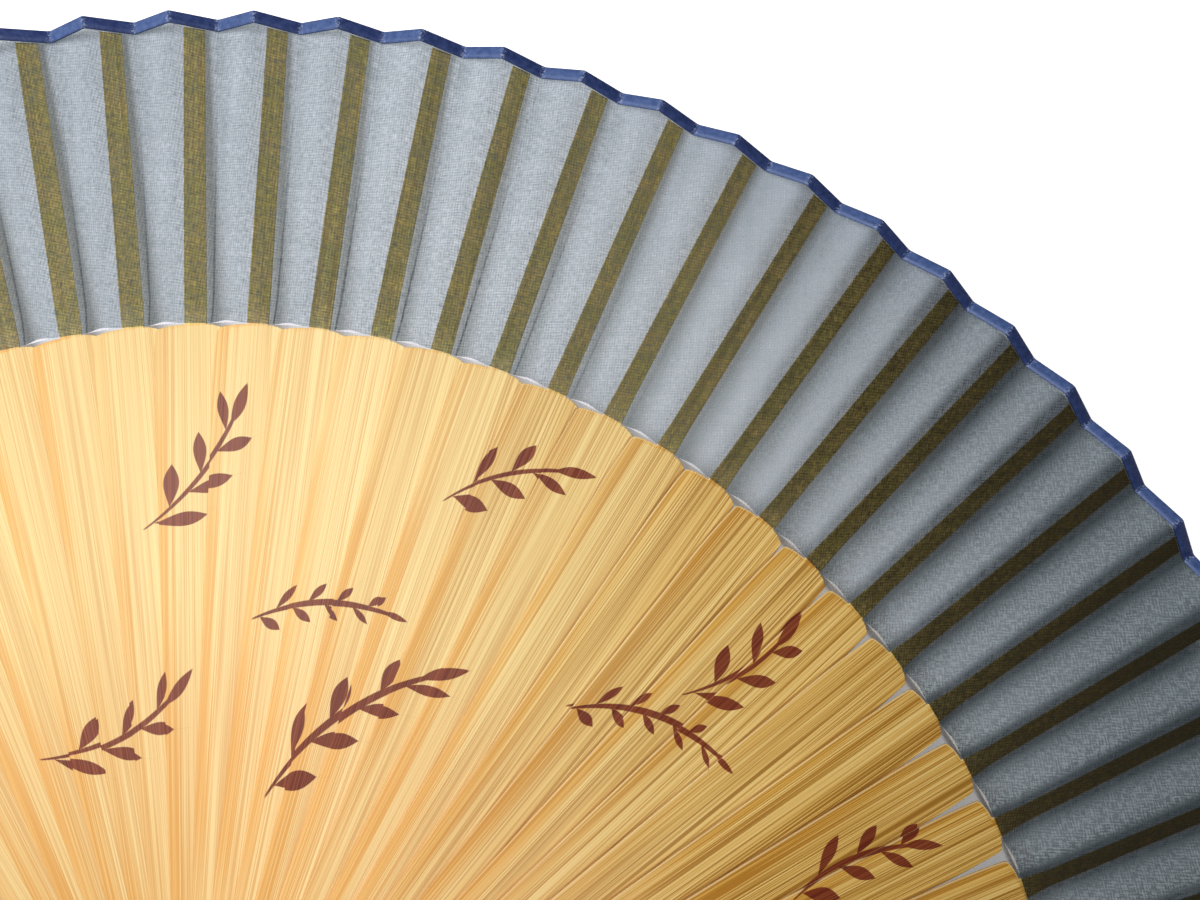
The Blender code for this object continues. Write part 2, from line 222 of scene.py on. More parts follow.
class Wiring:
    """Places nodes in one tree and joins their sockets."""

    def __init__(self, tree):
        self.tree = tree

    def fill(self, node, inputs):
        """Joins each input to the socket given for it, or sets it to the value given."""
        for key, value in inputs.items():
            if isinstance(value, bpy.types.NodeSocket):
                self.tree.links.new(value, node.inputs[key])
            else:
                node.inputs[key].default_value = value

    def place(self, kind, inputs=None, out=0, **settings):
        """One output of a new node with these inputs and settings."""
        made = self.tree.nodes.new("ShaderNode" + kind)
        for key, value in settings.items():
            setattr(made, key, value)
        self.fill(made, inputs or {})
        return made.outputs[out]

    def group(self, name, inputs):
        """The outputs of a node group placed with these inputs."""
        made = self.tree.nodes.new("ShaderNodeGroup")
        made.node_tree = bpy.data.node_groups[name]
        self.fill(made, inputs)
        return made.outputs

    def math(self, operation, *values, clamp=False):
        return self.place("Math", dict(enumerate(values)), operation=operation, use_clamp=clamp)

    def times(self, first, *others):
        """The product of all the values."""
        for value in others:
            first = self.math("MULTIPLY", first, value)
        return first

    def shifted(self, base, value, amount, middle=0.5, clamp=False):
        """base + amount * (value - middle)."""
        if middle:
            value = self.math("SUBTRACT", value, middle)
        return self.math("MULTIPLY_ADD", value, amount, base, clamp=clamp)

    def vector(self, operation, *values, out=0):
        return self.place("VectorMath", dict(enumerate(values)), out=out, operation=operation)

    def length(self, vector):
        return self.vector("LENGTH", vector, out="Value")

    def split(self, vector):
        """The three parts of a vector."""
        return self.place("SeparateXYZ", {0: vector}).node.outputs

    def turned(self, vector, angle):
        """A vector turned clockwise about Z."""
        back = self.math("MULTIPLY", angle, -1.0)
        return self.place("VectorRotate", {"Vector": vector, "Angle": back}, rotation_type="Z_AXIS")

    def ramp(self, value, low, high, bottom=0.0, top=1.0, soft=True):
        """Value carried from low..high to bottom..top and held there outside."""
        kind = "SMOOTHSTEP" if soft else "LINEAR"
        ends = {0: value, 1: low, 2: high, 3: bottom, 4: top}
        return self.place("MapRange", ends, interpolation_type=kind)

    def blend(self, share, first, second, way="MIX"):
        ends = {0: share, 6: first, 7: second}
        return self.place("Mix", ends, out=2, data_type="RGBA", blend_type=way)

    def tinted(self, share, colour, tint):
        """A colour that is multiplied by the tint where the share is 1."""
        return self.blend(share, colour, tint, "MULTIPLY")

    def fibres(self, share, dark, middle, pale):
        """Dark, middle and pale colour for a share of 0, a half and 1."""
        lower = self.blend(self.ramp(share, 0.0, 0.5, soft=False), dark, middle)
        return self.blend(self.ramp(share, 0.5, 1.0, soft=False), lower, pale)

    def noise(self, vector, scale=1.0, detail=2.0, rough=0.5):
        inputs = {"Vector": vector, "Scale": scale, "Detail": detail, "Roughness": rough}
        return self.place("TexNoise", inputs)

    def stretched(self, vector, x, y, z=1.0):
        """A vector with each part multiplied."""
        return self.vector("MULTIPLY", vector, (x, y, z))

    def attribute(self, name):
        return self.place("Attribute", attribute_name=name, out="Fac")

    def millimetres(self, name):
        """A UV map, which holds centimetres, in millimetres."""
        return self.stretched(self.place("UVMap", uv_map=name), 10.0, 10.0)


def new_group(name, inputs, outputs):
    """A shader node group: its wiring, its inputs and a function that joins its outputs."""
    tree = bpy.data.node_groups.new(name, "ShaderNodeTree")
    for label, kind, value in inputs:
        socket = tree.interface.new_socket(label, in_out="INPUT", socket_type="NodeSocket" + kind)
        socket.default_value = value
    for label in outputs:
        tree.interface.new_socket(label, in_out="OUTPUT", socket_type="NodeSocketFloat")
    source = tree.nodes.new("NodeGroupInput")
    sink = tree.nodes.new("NodeGroupOutput")

    def give(**values):
        for key, value in values.items():
            tree.links.new(value, sink.inputs[key])

    return Wiring(tree), source.outputs, give


def new_material(name):
    """A material with its wiring and its Principled shader."""
    made = bpy.data.materials.new(name)
    made.use_nodes = True
    tree = made.node_tree
    return made, Wiring(tree), tree.nodes["Principled BSDF"]


def make_grain_group():
    """Bamboo fibres along Y of Place, in millimetres.

    Pale, how pale the wood is, adds up noises drawn out along Y, in patches, rays and fine fibres, less the
    dark lines. A line lies where a further noise passes its middle value. Band is a slow noise.
    """
    w, given, give = new_group(
        "bamboo fibres", [("Place", "Vector", (0, 0, 0))], ["Pale", "Line", "Fibre", "Band"]
    )
    place = given["Place"]
    patch = w.noise(w.stretched(place, 0.42, 0.006), detail=1.5)
    ray = w.noise(w.stretched(place, 2.5, 0.006, 2.0), detail=1.0)
    fibre = w.noise(w.stretched(place, 5.5, 0.025, 3.0), detail=1.5)
    wave = w.noise(w.stretched(place, 1.9, 0.003, 4.0), detail=1.5, rough=0.6)
    strength = w.ramp(w.noise(w.stretched(place, 0.5, 0.012, 5.0)), 0.40, 0.60, 0.25, 1.0)
    from_middle = w.math("ABSOLUTE", w.math("SUBTRACT", wave, 0.5))
    line = w.times(w.ramp(from_middle, 0.06, 0.012), strength)
    pale = w.shifted(0.58, patch, 1.0)
    pale = w.shifted(pale, ray, 1.0)
    pale = w.shifted(pale, fibre, 2.2)
    pale = w.shifted(pale, line, -0.8, middle=0.0, clamp=True)
    band = w.noise(w.stretched(place, 0.015, 0.018, 6.0), detail=0.5)
    give(Pale=pale, Line=line, Fibre=fibre, Band=band)


def make_weave_group():
    """Plain weave on X and Y of Place, in millimetres: how much thread covers, how high it stands, its tone.

    A thread is a ramp on the distance from the middle of its lane, widened and narrowed by a noise along it.
    Cover is three quarters of the larger thread and a quarter of their product, Height is their sum, and Tone
    is the mean of the two noises.
    """
    w, given, give = new_group(
        "plain weave", [("Place", "Vector", (0, 0, 0)), ("Pitch", "Float", 0.45)], ["Cover", "Height", "Tone"]
    )
    pitch = w.place("CombineXYZ", {0: given["Pitch"], 1: given["Pitch"], 2: 1.0})
    lanes = w.vector("DIVIDE", given["Place"], pitch)
    along, counts = w.split(lanes), w.split(w.vector("FLOOR", lanes))
    threads, slubs_and_glints = [], []
    for own, other in ((0, 1), (1, 0)):
        crown = w.times(w.math("PINGPONG", along[own], 0.5), 2.0)
        seat = w.place("CombineXYZ", {0: w.times(counts[own], 3.7), 1: w.times(along[other], 0.05), 2: own})
        slub = w.noise(seat, detail=1.0)
        threads.append(w.ramp(w.shifted(crown, slub, 0.9), 0.1, 0.8))
        slubs_and_glints.append(slub)
    crossing = w.times(threads[0], threads[1], 0.25)
    cover = w.math("MULTIPLY_ADD", w.math("MAXIMUM", threads[0], threads[1]), 0.75, crossing)
    tone = w.times(w.math("ADD", slubs_and_glints[0], slubs_and_glints[1]), 0.5)
    give(Cover=cover, Height=w.math("ADD", threads[0], threads[1]), Tone=tone)


def make_twig_group():
    """A brushed twig: a bent stem along X, turned about Start, with leaves on alternate sides.

    The stem is where the distance across, less Bend * 4u(1 - u), is under a half width that grows with the
    same 4u(1 - u). Each leaf fills one cell of length Step, leans forward, and is as wide as a sine of the
    way along it. A last leaf, a sine too, ends the stem.
    """
    w, given, give = new_group(
        "brushed twig",
        [
            ("Place", "Vector", (0, 0, 0)),
            ("Start", "Vector", (0, 0, 0)),
            ("Turn", "Float", 0.0),
            ("Length", "Float", 40.0),
            ("Bend", "Float", 4.0),
            ("Step", "Float", 8.0),
            ("Leaf", "Float", 8.0),
            ("Lean", "Float", 0.7),
            ("Stem", "Float", 0.5),
        ],
        ["Mask"],
    )

    def under(value, limit, soft_in, soft_out):
        """1 where the value's size is under the limit, with a soft edge."""
        return w.ramp(w.math("SUBTRACT", w.math("ABSOLUTE", value), limit), soft_out, -soft_in)

    along, aside, _ = w.split(w.turned(w.vector("SUBTRACT", given["Place"], given["Start"]), given["Turn"]))
    share = w.math("DIVIDE", along, given["Length"])
    rise = w.times(share, w.math("SUBTRACT", 1.0, share), 4.0)
    aside = w.math("SUBTRACT", aside, w.times(rise, given["Bend"]))
    inside = w.times(w.ramp(share, 0.0, 0.02), w.ramp(share, 1.0, 0.98))
    half = w.times(given["Stem"], w.math("MULTIPLY_ADD", rise, 0.75, 0.25))
    stem = w.times(under(aside, half, 0.1, 0.1), inside)

    cells = w.math("DIVIDE", along, given["Step"])
    cells = w.math("ADD", cells, w.times(w.math("SIGN", aside), 0.25))
    ahead = w.times(w.math("FRACT", cells), given["Step"])
    cell = w.place("CombineXYZ", {0: ahead, 1: w.math("ABSOLUTE", aside), 2: 0.0})
    way, off, _ = w.split(w.turned(cell, given["Lean"]))
    size = w.times(given["Leaf"], w.math("MULTIPLY_ADD", share, -0.35, 1.0))
    way = w.math("DIVIDE", way, size, clamp=True)
    swell = w.math("SINE", w.times(w.math("POWER", way, 1.25), math.pi))
    blade = under(off, w.times(swell, size, 0.15), 0.12, 0.06)
    base = w.math("SUBTRACT", along, ahead)
    reach = w.times(given["Leaf"], 0.8)
    last = w.math("SUBTRACT", given["Length"], reach)
    blade = w.times(blade, w.math("GREATER_THAN", base, 1.0), w.math("LESS_THAN", base, last))

    way = w.math("DIVIDE", w.math("SUBTRACT", along, last), reach, clamp=True)
    swell = w.math("SINE", w.times(way, math.pi))
    end = w.times(under(aside, w.times(swell, reach, 0.14), 0.12, 0.06), inside)
    give(Mask=w.math("MAXIMUM", stem, w.math("MAXIMUM", blade, end)))


def bamboo_wood(w, shader, rough):
    """Shared by sticks and guards: the fibre group on the map grain, with roughness and bump from it."""
    wood = w.group("bamboo fibres", {"Place": w.millimetres("grain")})
    height = w.math("SUBTRACT", w.times(wood["Fibre"], 0.5), wood["Line"])
    bump = w.place("Bump", {"Strength": 0.25, "Distance": 0.0001, "Height": height})
    w.fill(shader, {"Normal": bump, "Roughness": w.ramp(wood["Fibre"], 0.3, 0.7, rough - 0.06, rough + 0.08)})
    return wood


def guard_material():
    """Bamboo of the guards, riper than the sticks and glossier from the hand."""
    made, w, shader = new_material("guard bamboo")
    wood = bamboo_wood(w, shader, 0.36)
    w.fill(shader, {"Base Color": w.fibres(wood["Pale"], *GUARD_BAMBOO)})
    return made


def stick_material():
    """Bamboo of the inner sticks: pale at one side of the fan, a painted highlight of wood washed out by
    strong light, and golden at the other, by the attribute tone.

    The attribute left is the distance from a stick's left edge, for its golden band and its pale rim, a
    painted highlight, and beside is the distance to the next stick, for the dark painted shade where that
    stick lies over it. The map fan is the place in the open fan, for the tints over all the sticks, of which
    those at the left and at the right are painted shade, the painted twigs, and the tongues, which are darker
    in patches where glue soaked in and much darker towards the right as painted shade.
    """
    made, w, shader = new_material("bamboo")
    wood = bamboo_wood(w, shader, 0.46)
    tone, left, beside = w.attribute("tone"), w.attribute("left"), w.attribute("beside")
    fan = w.millimetres("fan")
    from_rivet = w.length(fan)
    across = w.split(fan)[0]
    pale, golden_wood = w.fibres(wood["Pale"], *WASHED_OUT_BAMBOO), w.fibres(wood["Pale"], *GOLDEN_BAMBOO)
    # painted highlight: by tone the sticks go from washed-out pale at the left of the fan to golden at the
    # right
    colour = w.blend(tone, pale, golden_wood)

    wander = w.shifted(w.shifted(left, wood["Fibre"], 2.5), wood["Pale"], 1.2)
    golden = w.times(w.ramp(wander, 3.1, 1.0), w.ramp(wood["Band"], 0.38, 0.54, 0.42, 1.0))
    gold_dark = w.blend(tone, (0.81, 0.44, 0.12, 1), (0.46, 0.20, 0.022, 1))
    gold_pale = w.blend(tone, (0.91, 0.56, 0.19, 1), (0.76, 0.43, 0.075, 1))
    colour = w.blend(golden, colour, w.blend(w.ramp(wood["Pale"], 0.1, 0.9), gold_dark, gold_pale))
    # painted highlight: a pale line along each stick's left edge, stronger towards the right
    rim = w.times(w.ramp(left, 0.30, 0.16), w.ramp(tone, 0.2, 0.6, 0.0, 0.5))
    colour = w.blend(rim, colour, (0.93, 0.74, 0.40, 1))
    # painted shade: darker where the next stick lies over this one, stronger towards the right
    seam_shade = w.times(w.ramp(beside, 0.5, 0.1), w.ramp(tone, 0.15, 0.75, 0.26, 0.75))
    colour = w.tinted(seam_shade, colour, (0.42, 0.30, 0.18, 1))

    # painted shade: the sticks at the left are dimmed, against the lamp's strong light there
    colour = w.tinted(w.ramp(across, 12.0, -34.0), colour, (0.88, 0.86, 0.80, 1))
    colour = w.tinted(w.ramp(from_rivet, 105.0, 70.0), colour, (1.0, 0.935, 0.935, 1))
    # painted shade: the sticks towards the right are a little darker
    colour = w.tinted(w.ramp(across, 84.0, 108.0), colour, (0.95, 0.94, 0.90, 1))

    brush = w.times(add_twigs(w, fan), w.attribute("front"), w.ramp(wood["Fibre"], 0.35, 0.7, 0.99, 0.93))
    brown = w.blend(wood["Pale"], (0.13, 0.013, 0.005, 1), (0.235, 0.038, 0.012, 1))
    colour = w.blend(brush, colour, brown)

    glued = w.blend(wood["Pale"], (0.70, 0.44, 0.115, 1), (0.96, 0.68, 0.22, 1))
    # painted shade: the tongues grow much darker towards the right
    glued = w.tinted(w.ramp(across, 85.0, 160.0), glued, (0.26, 0.22, 0.14, 1))
    patches = w.ramp(w.noise(fan, scale=0.22, detail=3.0), 0.38, 0.62)
    glued = w.tinted(patches, glued, (0.86, 0.93, 0.80, 1))
    colour = w.blend(w.ramp(from_rivet, SHOULDER, 144.0), colour, glued)
    w.fill(shader, {"Base Color": colour, "Specular IOR Level": 0.28})
    return made


def add_twigs(w, fan):
    """A few leafy twigs and sprays, painted across the sticks: the largest of their masks."""
    mask = None
    for x, y, turn, length, bend, step, leaf, lean, stem in TWIGS:
        values = {"Place": fan, "Start": (x, y, 0.0), "Turn": math.radians(turn), "Length": length}
        values.update({"Bend": bend, "Step": step, "Leaf": leaf, "Lean": math.radians(lean), "Stem": stem})
        twig = w.group("brushed twig", values)["Mask"]
        mask = twig if mask is None else w.math("MAXIMUM", mask, twig)
    return mask


def gauze_material():
    """Blue-grey plain weave: tinted light comes through, and the threads stand in front of it.

    valley and ridge are the distances to the right of the two folds of the free facet. bow, a sine of the way
    across that facet, bows the pale hem at the inner edge. The folds get painted shade: the valley a thin
    dark line at the left of the fan, and both soft shades at the right, where the cloth is paler between
    them.
    centre is the distance from a tongue's middle, over which painted shade darkens the cloth towards the
    right.
    """
    made, w, shader = new_material("gauze")
    place = w.millimetres("cloth")
    across = w.split(place)[0]
    weave = w.group("plain weave", {"Place": place, "Pitch": THREAD_PITCH})
    drawn = w.noise(w.stretched(place, 0.55, 0.02))
    grain = w.math("ADD", w.noise(w.stretched(place, 4.2, 0.8)), w.noise(w.stretched(place, 0.8, 4.2, 2.0)))

    valley = w.attribute("valley")
    bow = w.math("SINE", w.times(w.math("DIVIDE", valley, FACET, clamp=True), math.pi))
    bulge = w.times(bow, bow)
    hem = w.shifted(w.attribute("hem"), bulge, -0.36, middle=0.0)
    hem = w.times(w.ramp(hem, 0.16, 0.06), w.ramp(bow, 0.02, 0.12))
    # painted shade: a thin dark line along the valley fold, at the left of the fan
    crease = w.times(
        w.ramp(w.math("ABSOLUTE", valley), 0.24, 0.05),
        w.ramp(w.length(place), 185.0, 146.0, 0.15, 0.8),
        w.ramp(across, 75.0, 25.0),
    )
    rightward = w.ramp(across, 50.0, 125.0)
    ridge = w.times(w.ramp(w.attribute("ridge"), -1.3, 0.2), rightward)
    shade = w.times(w.ramp(valley, 3.6, -0.6), rightward)
    dark = w.math("MAXIMUM", ridge, w.times(shade, shade))
    # painted shade: the cloth over each tongue, darker towards the right
    tongue_shade = w.times(w.ramp(w.attribute("centre"), 1.95, 1.65), w.ramp(across, 30.0, 105.0))

    colour = w.blend(w.ramp(weave["Tone"], 0.35, 0.65), (0.032, 0.056, 0.067, 1), (0.07, 0.106, 0.122, 1))
    raised = w.shifted(grain, weave["Height"], 0.10, middle=1.0)
    # painted highlights and shade: towards the right, raised threads are painted bright and low ones dark
    slubs_and_glints = w.blend(w.ramp(raised, 0.88, 1.12), (0.015, 0.035, 0.045, 1), (0.42, 0.50, 0.53, 1))
    colour = w.blend(w.ramp(across, 30.0, 120.0, 0.0, 0.8), colour, slubs_and_glints)
    colour = w.blend(crease, colour, (0.02, 0.026, 0.045, 1))
    colour = w.blend(dark, colour, (0.018, 0.036, 0.044, 1))
    colour = w.blend(tongue_shade, colour, (0.022, 0.017, 0.004, 1))
    # painted shade: the hem is darker towards the right
    hem_colour = w.blend(w.ramp(across, 40.0, 110.0), (0.74, 0.72, 0.78, 1), (0.50, 0.47, 0.44, 1))
    colour = w.blend(hem, colour, hem_colour)

    cover = w.shifted(0.28, weave["Cover"], 0.22, middle=0.0)
    cover = w.shifted(cover, bulge, -0.09, middle=0.0)
    cover = w.math("ADD", w.ramp(across, 40.0, 110.0, 0.0, 0.03), cover)
    cover = w.shifted(cover, weave["Tone"], 0.22)
    cover = w.shifted(cover, drawn, 0.12)
    cover = w.shifted(cover, grain, 0.65, middle=1.0)
    cover = w.shifted(cover, dark, 0.22, middle=0.0)
    cover = w.shifted(cover, crease, 0.45, middle=0.0, clamp=True)
    cover = w.math("MAXIMUM", cover, w.times(hem, 0.95))

    bump = w.place("Bump", {"Strength": 0.3, "Distance": 0.0001, "Height": weave["Height"]})
    w.fill(shader, {"Base Color": colour, "Roughness": 0.8, "Normal": bump})
    clear = w.place("BsdfTransparent", {0: (0.90, 0.955, 1.0, 1)})
    joined = w.place("MixShader", {0: cover, 1: clear, 2: shader.outputs[0]})
    w.fill(w.tree.nodes["Material Output"], {"Surface": joined})
    return made


def paper_material():
    """Dark blue satin paper: darker over the tongues as painted shade, with pale flecks along its folds.

    The attribute side is the distance from the middle of the free facet, whose folds lie PAPER_CREASE away.
    """
    made, w, shader = new_material("edge paper")
    place = w.millimetres("cloth")
    side = w.math("ABSOLUTE", w.attribute("side"))
    # painted light and shade: the free facets get the lit blue, the facets over the tongues a darker one
    turned_away = w.ramp(side, 3.60, 3.75)
    crease = w.math("ABSOLUTE", w.math("SUBTRACT", side, PAPER_CREASE))
    cloud = w.ramp(w.noise(place, scale=0.9, detail=4.0), 0.3, 0.7)
    lit = w.blend(cloud, (0.045, 0.085, 0.24, 1), (0.075, 0.13, 0.32, 1))
    away = w.blend(cloud, (0.016, 0.032, 0.125, 1), (0.030, 0.055, 0.18, 1))
    colour = w.blend(turned_away, lit, away)
    flecks = w.ramp(w.noise(place, scale=2.6, detail=3.0), 0.50, 0.62)
    flecks = w.times(flecks, w.ramp(crease, 0.8, 0.1, 0.0, 0.7))
    colour = w.blend(flecks, colour, (0.34, 0.40, 0.58, 1))
    dents = w.noise(place, scale=1.8, detail=3.0)
    bump = w.place("Bump", {"Strength": 0.3, "Distance": 0.0002, "Height": dents})
    w.fill(shader, {"Base Color": colour, "Roughness": w.ramp(cloud, 0.0, 1.0, 0.46, 0.58), "Normal": bump})
    return made


def resin_material():
    """Dark brown resin of the rivet, slightly clouded."""
    made, w, shader = new_material("rivet resin")
    cloud = w.noise(w.place("TexCoord", out="Object"), scale=900.0, detail=3.0)
    colour = w.blend(w.ramp(cloud, 0.35, 0.65), (0.040, 0.020, 0.011, 1), (0.060, 0.030, 0.016, 1))
    w.fill(shader, {"Base Color": colour, "Roughness": w.ramp(cloud, 0.3, 0.7, 0.25, 0.4)})
    return made


# meshes


def quads(columns, rows, wrap=False):
    """Faces of a grid whose points run row after row; with wrap, the last row joins the first."""
    kept_rows = np.arange(rows if wrap else rows - 1)
    row, column = np.meshgrid(kept_rows, np.arange(columns - 1), indexing="ij")
    here, after = row * columns + column, (row + 1) % rows * columns + column
    return np.stack([corner.ravel() for corner in (here, here + 1, after + 1, after)], axis=-1)


def add_piece(name, points, faces, maps, look, marks=None):
    """A mesh of these points, given in the fan's frame, with its UV maps and its attributes."""
    mesh = bpy.data.meshes.new(name)
    mesh.from_pydata(to_row(points.reshape(-1, 3)).tolist(), [], faces)
    corner = np.zeros(len(mesh.loops), np.int32)
    mesh.loops.foreach_get("vertex_index", corner)
    for label, values in maps.items():
        layer = mesh.uv_layers.new(name=label)
        layer.data.foreach_set("uv", values.reshape(-1, 2)[corner].astype(np.float32).ravel())
    mesh.polygons.foreach_set("use_smooth", np.ones(len(mesh.polygons), bool))
    for label, values in (marks or {}).items():
        mark = mesh.attributes.new(label, "FLOAT", "POINT")
        mark.data.foreach_set("value", np.ravel(values).astype(np.float32))
    mesh.materials.append(look)
    made = bpy.data.objects.new(name, mesh)
    bpy.context.scene.collection.objects.link(made)
    return made


def close_doubles(made):
    """Merges doubled points, as where the two halves of a plate meet, and turns the faces outwards."""
    shape = bmesh.new()
    shape.from_mesh(made.data)
    bmesh.ops.remove_doubles(shape, verts=shape.verts[:], dist=1e-7)
    bmesh.ops.dissolve_degenerate(shape, dist=1e-8, edges=shape.edges[:])
    bmesh.ops.recalc_face_normals(shape, faces=shape.faces[:])
    shape.to_mesh(made.data)
    shape.free()


def arc(centre_x, centre_y, radius, start, end, count):
    """Points of a circle from one angle to another, in degrees from +X."""
    turn = np.radians(np.linspace(start, end, count))
    return np.stack((centre_x + radius * np.cos(turn), centre_y + radius * np.sin(turn)), axis=-1)


def straight(start, end, count):
    """Points in even steps past the start, up to the end."""
    t = np.linspace(0, 1, count)[1:, None]
    return np.array(start) + (np.array(end) - np.array(start)) * t


def half_cosine(start, end, count):
    """Points past the start, up to the end: even steps in Y, and half a cosine in X."""
    t = np.linspace(0, 1, count)[1:]
    fall = (1 - np.cos(np.pi * t)) / 2
    return np.stack((start[0] + (end[0] - start[0]) * fall, start[1] + (end[1] - start[1]) * t), axis=-1)


def stick_side(shoulder, hand):
    """One side of a stick from under its head to its tongue's tip: hand 1 is the right side, -1 the left.

    An arc about the rivet, a half cosine down to the waist, a straight taper to the widest place, a parabola
    in to the shoulder, an arc round its corner, a shoulder line that rises by a parabola, and the straight
    tongue, which is turned a little to the right about the rivet.
    """
    half = shoulder / 2
    shift = hand * math.tan(TONGUE_TURN)
    head = arc(0, 0, HEAD, -90, HEAD_ARC_END, HEAD_POINTS)
    neck = half_cosine(head[-1], (WAIST_HALF, WAIST), 18)
    taper = straight((WAIST_HALF, WAIST), (half + BULGE_PAST_SHOULDER, BULGE), 14)
    end = SHOULDER * math.cos(half / SHOULDER) - SHOULDER_DROP - SHOULDER_CORNER
    t = np.linspace(0, 1, 9)[1:]
    curve = np.stack((half + BULGE_PAST_SHOULDER * (1 - t * t), BULGE + (end - BULGE) * t), axis=-1)
    corner = arc(half - SHOULDER_CORNER, end, SHOULDER_CORNER, 12, 78, 7)
    from_x, from_y = corner[-1]
    root = TONGUE_HALF + SHOULDER * shift
    rise = (SHOULDER - from_y) * (1 - (1 - t) ** 2)
    line = np.stack((from_x + (root - from_x) * t, from_y + rise), axis=-1)
    y = ALONG_TONGUE
    taper_in = TONGUE_TAPER * (y - SHOULDER) / (TONGUE_END - SHOULDER)
    tongue = np.stack((TONGUE_HALF + y * shift - taper_in, y), axis=-1)
    tip = [(TONGUE_END * shift, TONGUE_END)]
    return np.concatenate((head, neck, taper, curve, corner, line, tongue, tip))


def guard_side():
    """Right side of a guard, from under its head to the middle of its top.

    An arc about the rivet, a half cosine to the waist, a straight taper to the widest place, a half cosine in
    along the leaf, a slight straight taper, and an arc round the top's corner.
    """
    top = GUARD_TOP - GUARD_CORNER
    head = arc(0, 0, GUARD_HEAD, -90, HEAD_ARC_END, HEAD_POINTS)
    neck = half_cosine(head[-1], (GUARD_WAIST_HALF, WAIST), 18)
    taper = straight((GUARD_WAIST_HALF, WAIST), (GUARD_HALF, BULGE), 12)
    shoulder = half_cosine((GUARD_HALF, BULGE), (GUARD_SLIM_HALF, GUARD_SLIM), 24)
    y = np.linspace(GUARD_SLIM + 5.0, top, 8)[:-1]
    upper = np.stack((GUARD_SLIM_HALF - GUARD_TAPER * (y - GUARD_SLIM) / (top - GUARD_SLIM), y), axis=-1)
    corner = arc(GUARD_SLIM_HALF - GUARD_TAPER - GUARD_CORNER, top, GUARD_CORNER, 0, 90, 9)
    return np.concatenate((head, neck, taper, shoulder, upper, corner, [(0.0, GUARD_TOP)]))


def plate_rows(side, left, floor, roof, edge, steps):
    """Rows of a plate with a rivet hole: each row goes round the outline, and the rows go over its edge.

    Bottom and top face run in to the hole's rim on the head, up to the neck at each point's own angle and
    past it at evenly growing angles, and to the middle line further up. A quarter circle rounds each edge.
    """
    x = np.concatenate((side[:, 0], -left[-2:0:-1, 0]))
    y = np.concatenate((side[:, 1], left[-2:0:-1, 1]))
    run = np.stack((np.roll(x, -1) - np.roll(x, 1), np.roll(y, -1) - np.roll(y, 1)))
    run /= np.linalg.norm(run, axis=0)
    out_x, out_y = run[1], -run[0]
    neck = side[HEAD_POINTS - 1, 1]
    past_neck = (y - neck) / (HEAD_FACES_END - neck)
    growing = np.radians(HEAD_ARC_END + (90 - HEAD_ARC_END) * past_neck)
    angle = np.where(y <= neck, np.arctan2(y, np.abs(x)), growing)
    ring = y < HEAD_FACES_END
    margin = edge + FLAT_MARGIN
    inner_x = np.where(ring, np.sign(x) * BORE * np.cos(angle), 0.0)
    inner_y = np.where(ring, BORE * np.sin(angle), y - out_y * margin)
    inner_y[len(side) :] = inner_y[len(side) - 2 : 0 : -1]
    turn = np.linspace(0, math.pi / 2, steps)
    insets = np.concatenate(([margin], edge * (1 - np.sin(turn))))
    lifts = np.concatenate(([0.0], edge * (1 - np.cos(turn))))
    low, high = floor(y), roof(y)
    rows = [np.stack((inner_x, inner_y, low), axis=-1)]
    for inset, lift in zip(insets, lifts):
        rows.append(np.stack((x - out_x * inset, y - out_y * inset, low + lift), axis=-1))
    for inset, lift in zip(insets[::-1], lifts[::-1]):
        rows.append(np.stack((x - out_x * inset, y - out_y * inset, high - lift), axis=-1))
    rows.append(np.stack((inner_x, inner_y, high), axis=-1))
    return np.stack(rows), ring


def plate(side, left, floor, roof, edge, steps=4):
    """A plate with a rivet hole, as a grid of points, its faces, and two distances at each point.

    side and left are the outline's two halves; floor and roof give the heights of its faces at a distance
    along it. The two distances are from its left edge, and to the left edge of a like plate turned by PITCH.
    The last row joins the first only round the hole, as its wall.
    """
    points, ring = plate_rows(side, left, floor, roof, edge, steps)
    row_count, count = points.shape[:2]
    mirror = np.concatenate((np.arange(len(side)), np.arange(len(side) - 2, 0, -1)))
    from_left = points[..., 0] + left[mirror, 0]
    beside = points[..., 1] * math.tan(PITCH) - from_left
    faces = quads(count + 1, row_count, wrap=True)
    row, column = faces // (count + 1), (faces % (count + 1)) % count
    wall = np.any(row == row_count - 1, axis=1) & np.any(row == 0, axis=1)
    hole = np.all(ring[column], axis=1)
    return points, (row * count + column)[~wall | hole], from_left, beside


def add_plate(name, shape, angle, height, look, tone, seed, jitter=(0.0, 0.0), bend=None):
    """A plate turned to its place in the fan, with its fibres and its place in the fan as UV maps.

    The attribute tone goes smoothly from 0 to 1 across the fan, for the painted highlight that pales one
    side, shifted a little by the stick's own tone.
    front is 1 on the upper face, left is the distance from the left edge, and beside that to the next stick.
    """
    points, faces, from_left, beside = shape
    grain = np.stack((points[..., 0] / 10 + 3.7 * seed, points[..., 1] / 10), axis=-1)
    flat = turned(points * np.array((1.0, 1.0, 0.0)), angle)
    if bend is not None:
        points = bend(points)
    placed = turned(points + np.array((0.0, 0.0, height)), angle)
    fan = (flat[..., :2] + np.array(jitter)) / 10
    marks = {
        "tone": np.clip(smooth((flat[..., 0] + 8) / 108) + tone, 0, 1),
        "front": np.repeat(np.arange(len(points)) >= len(points) // 2, points.shape[1]),
        "left": from_left,
        "beside": beside,
    }
    made = add_piece(name, placed, faces.tolist(), {"grain": grain, "fan": fan}, look, marks)
    close_doubles(made)
    return made


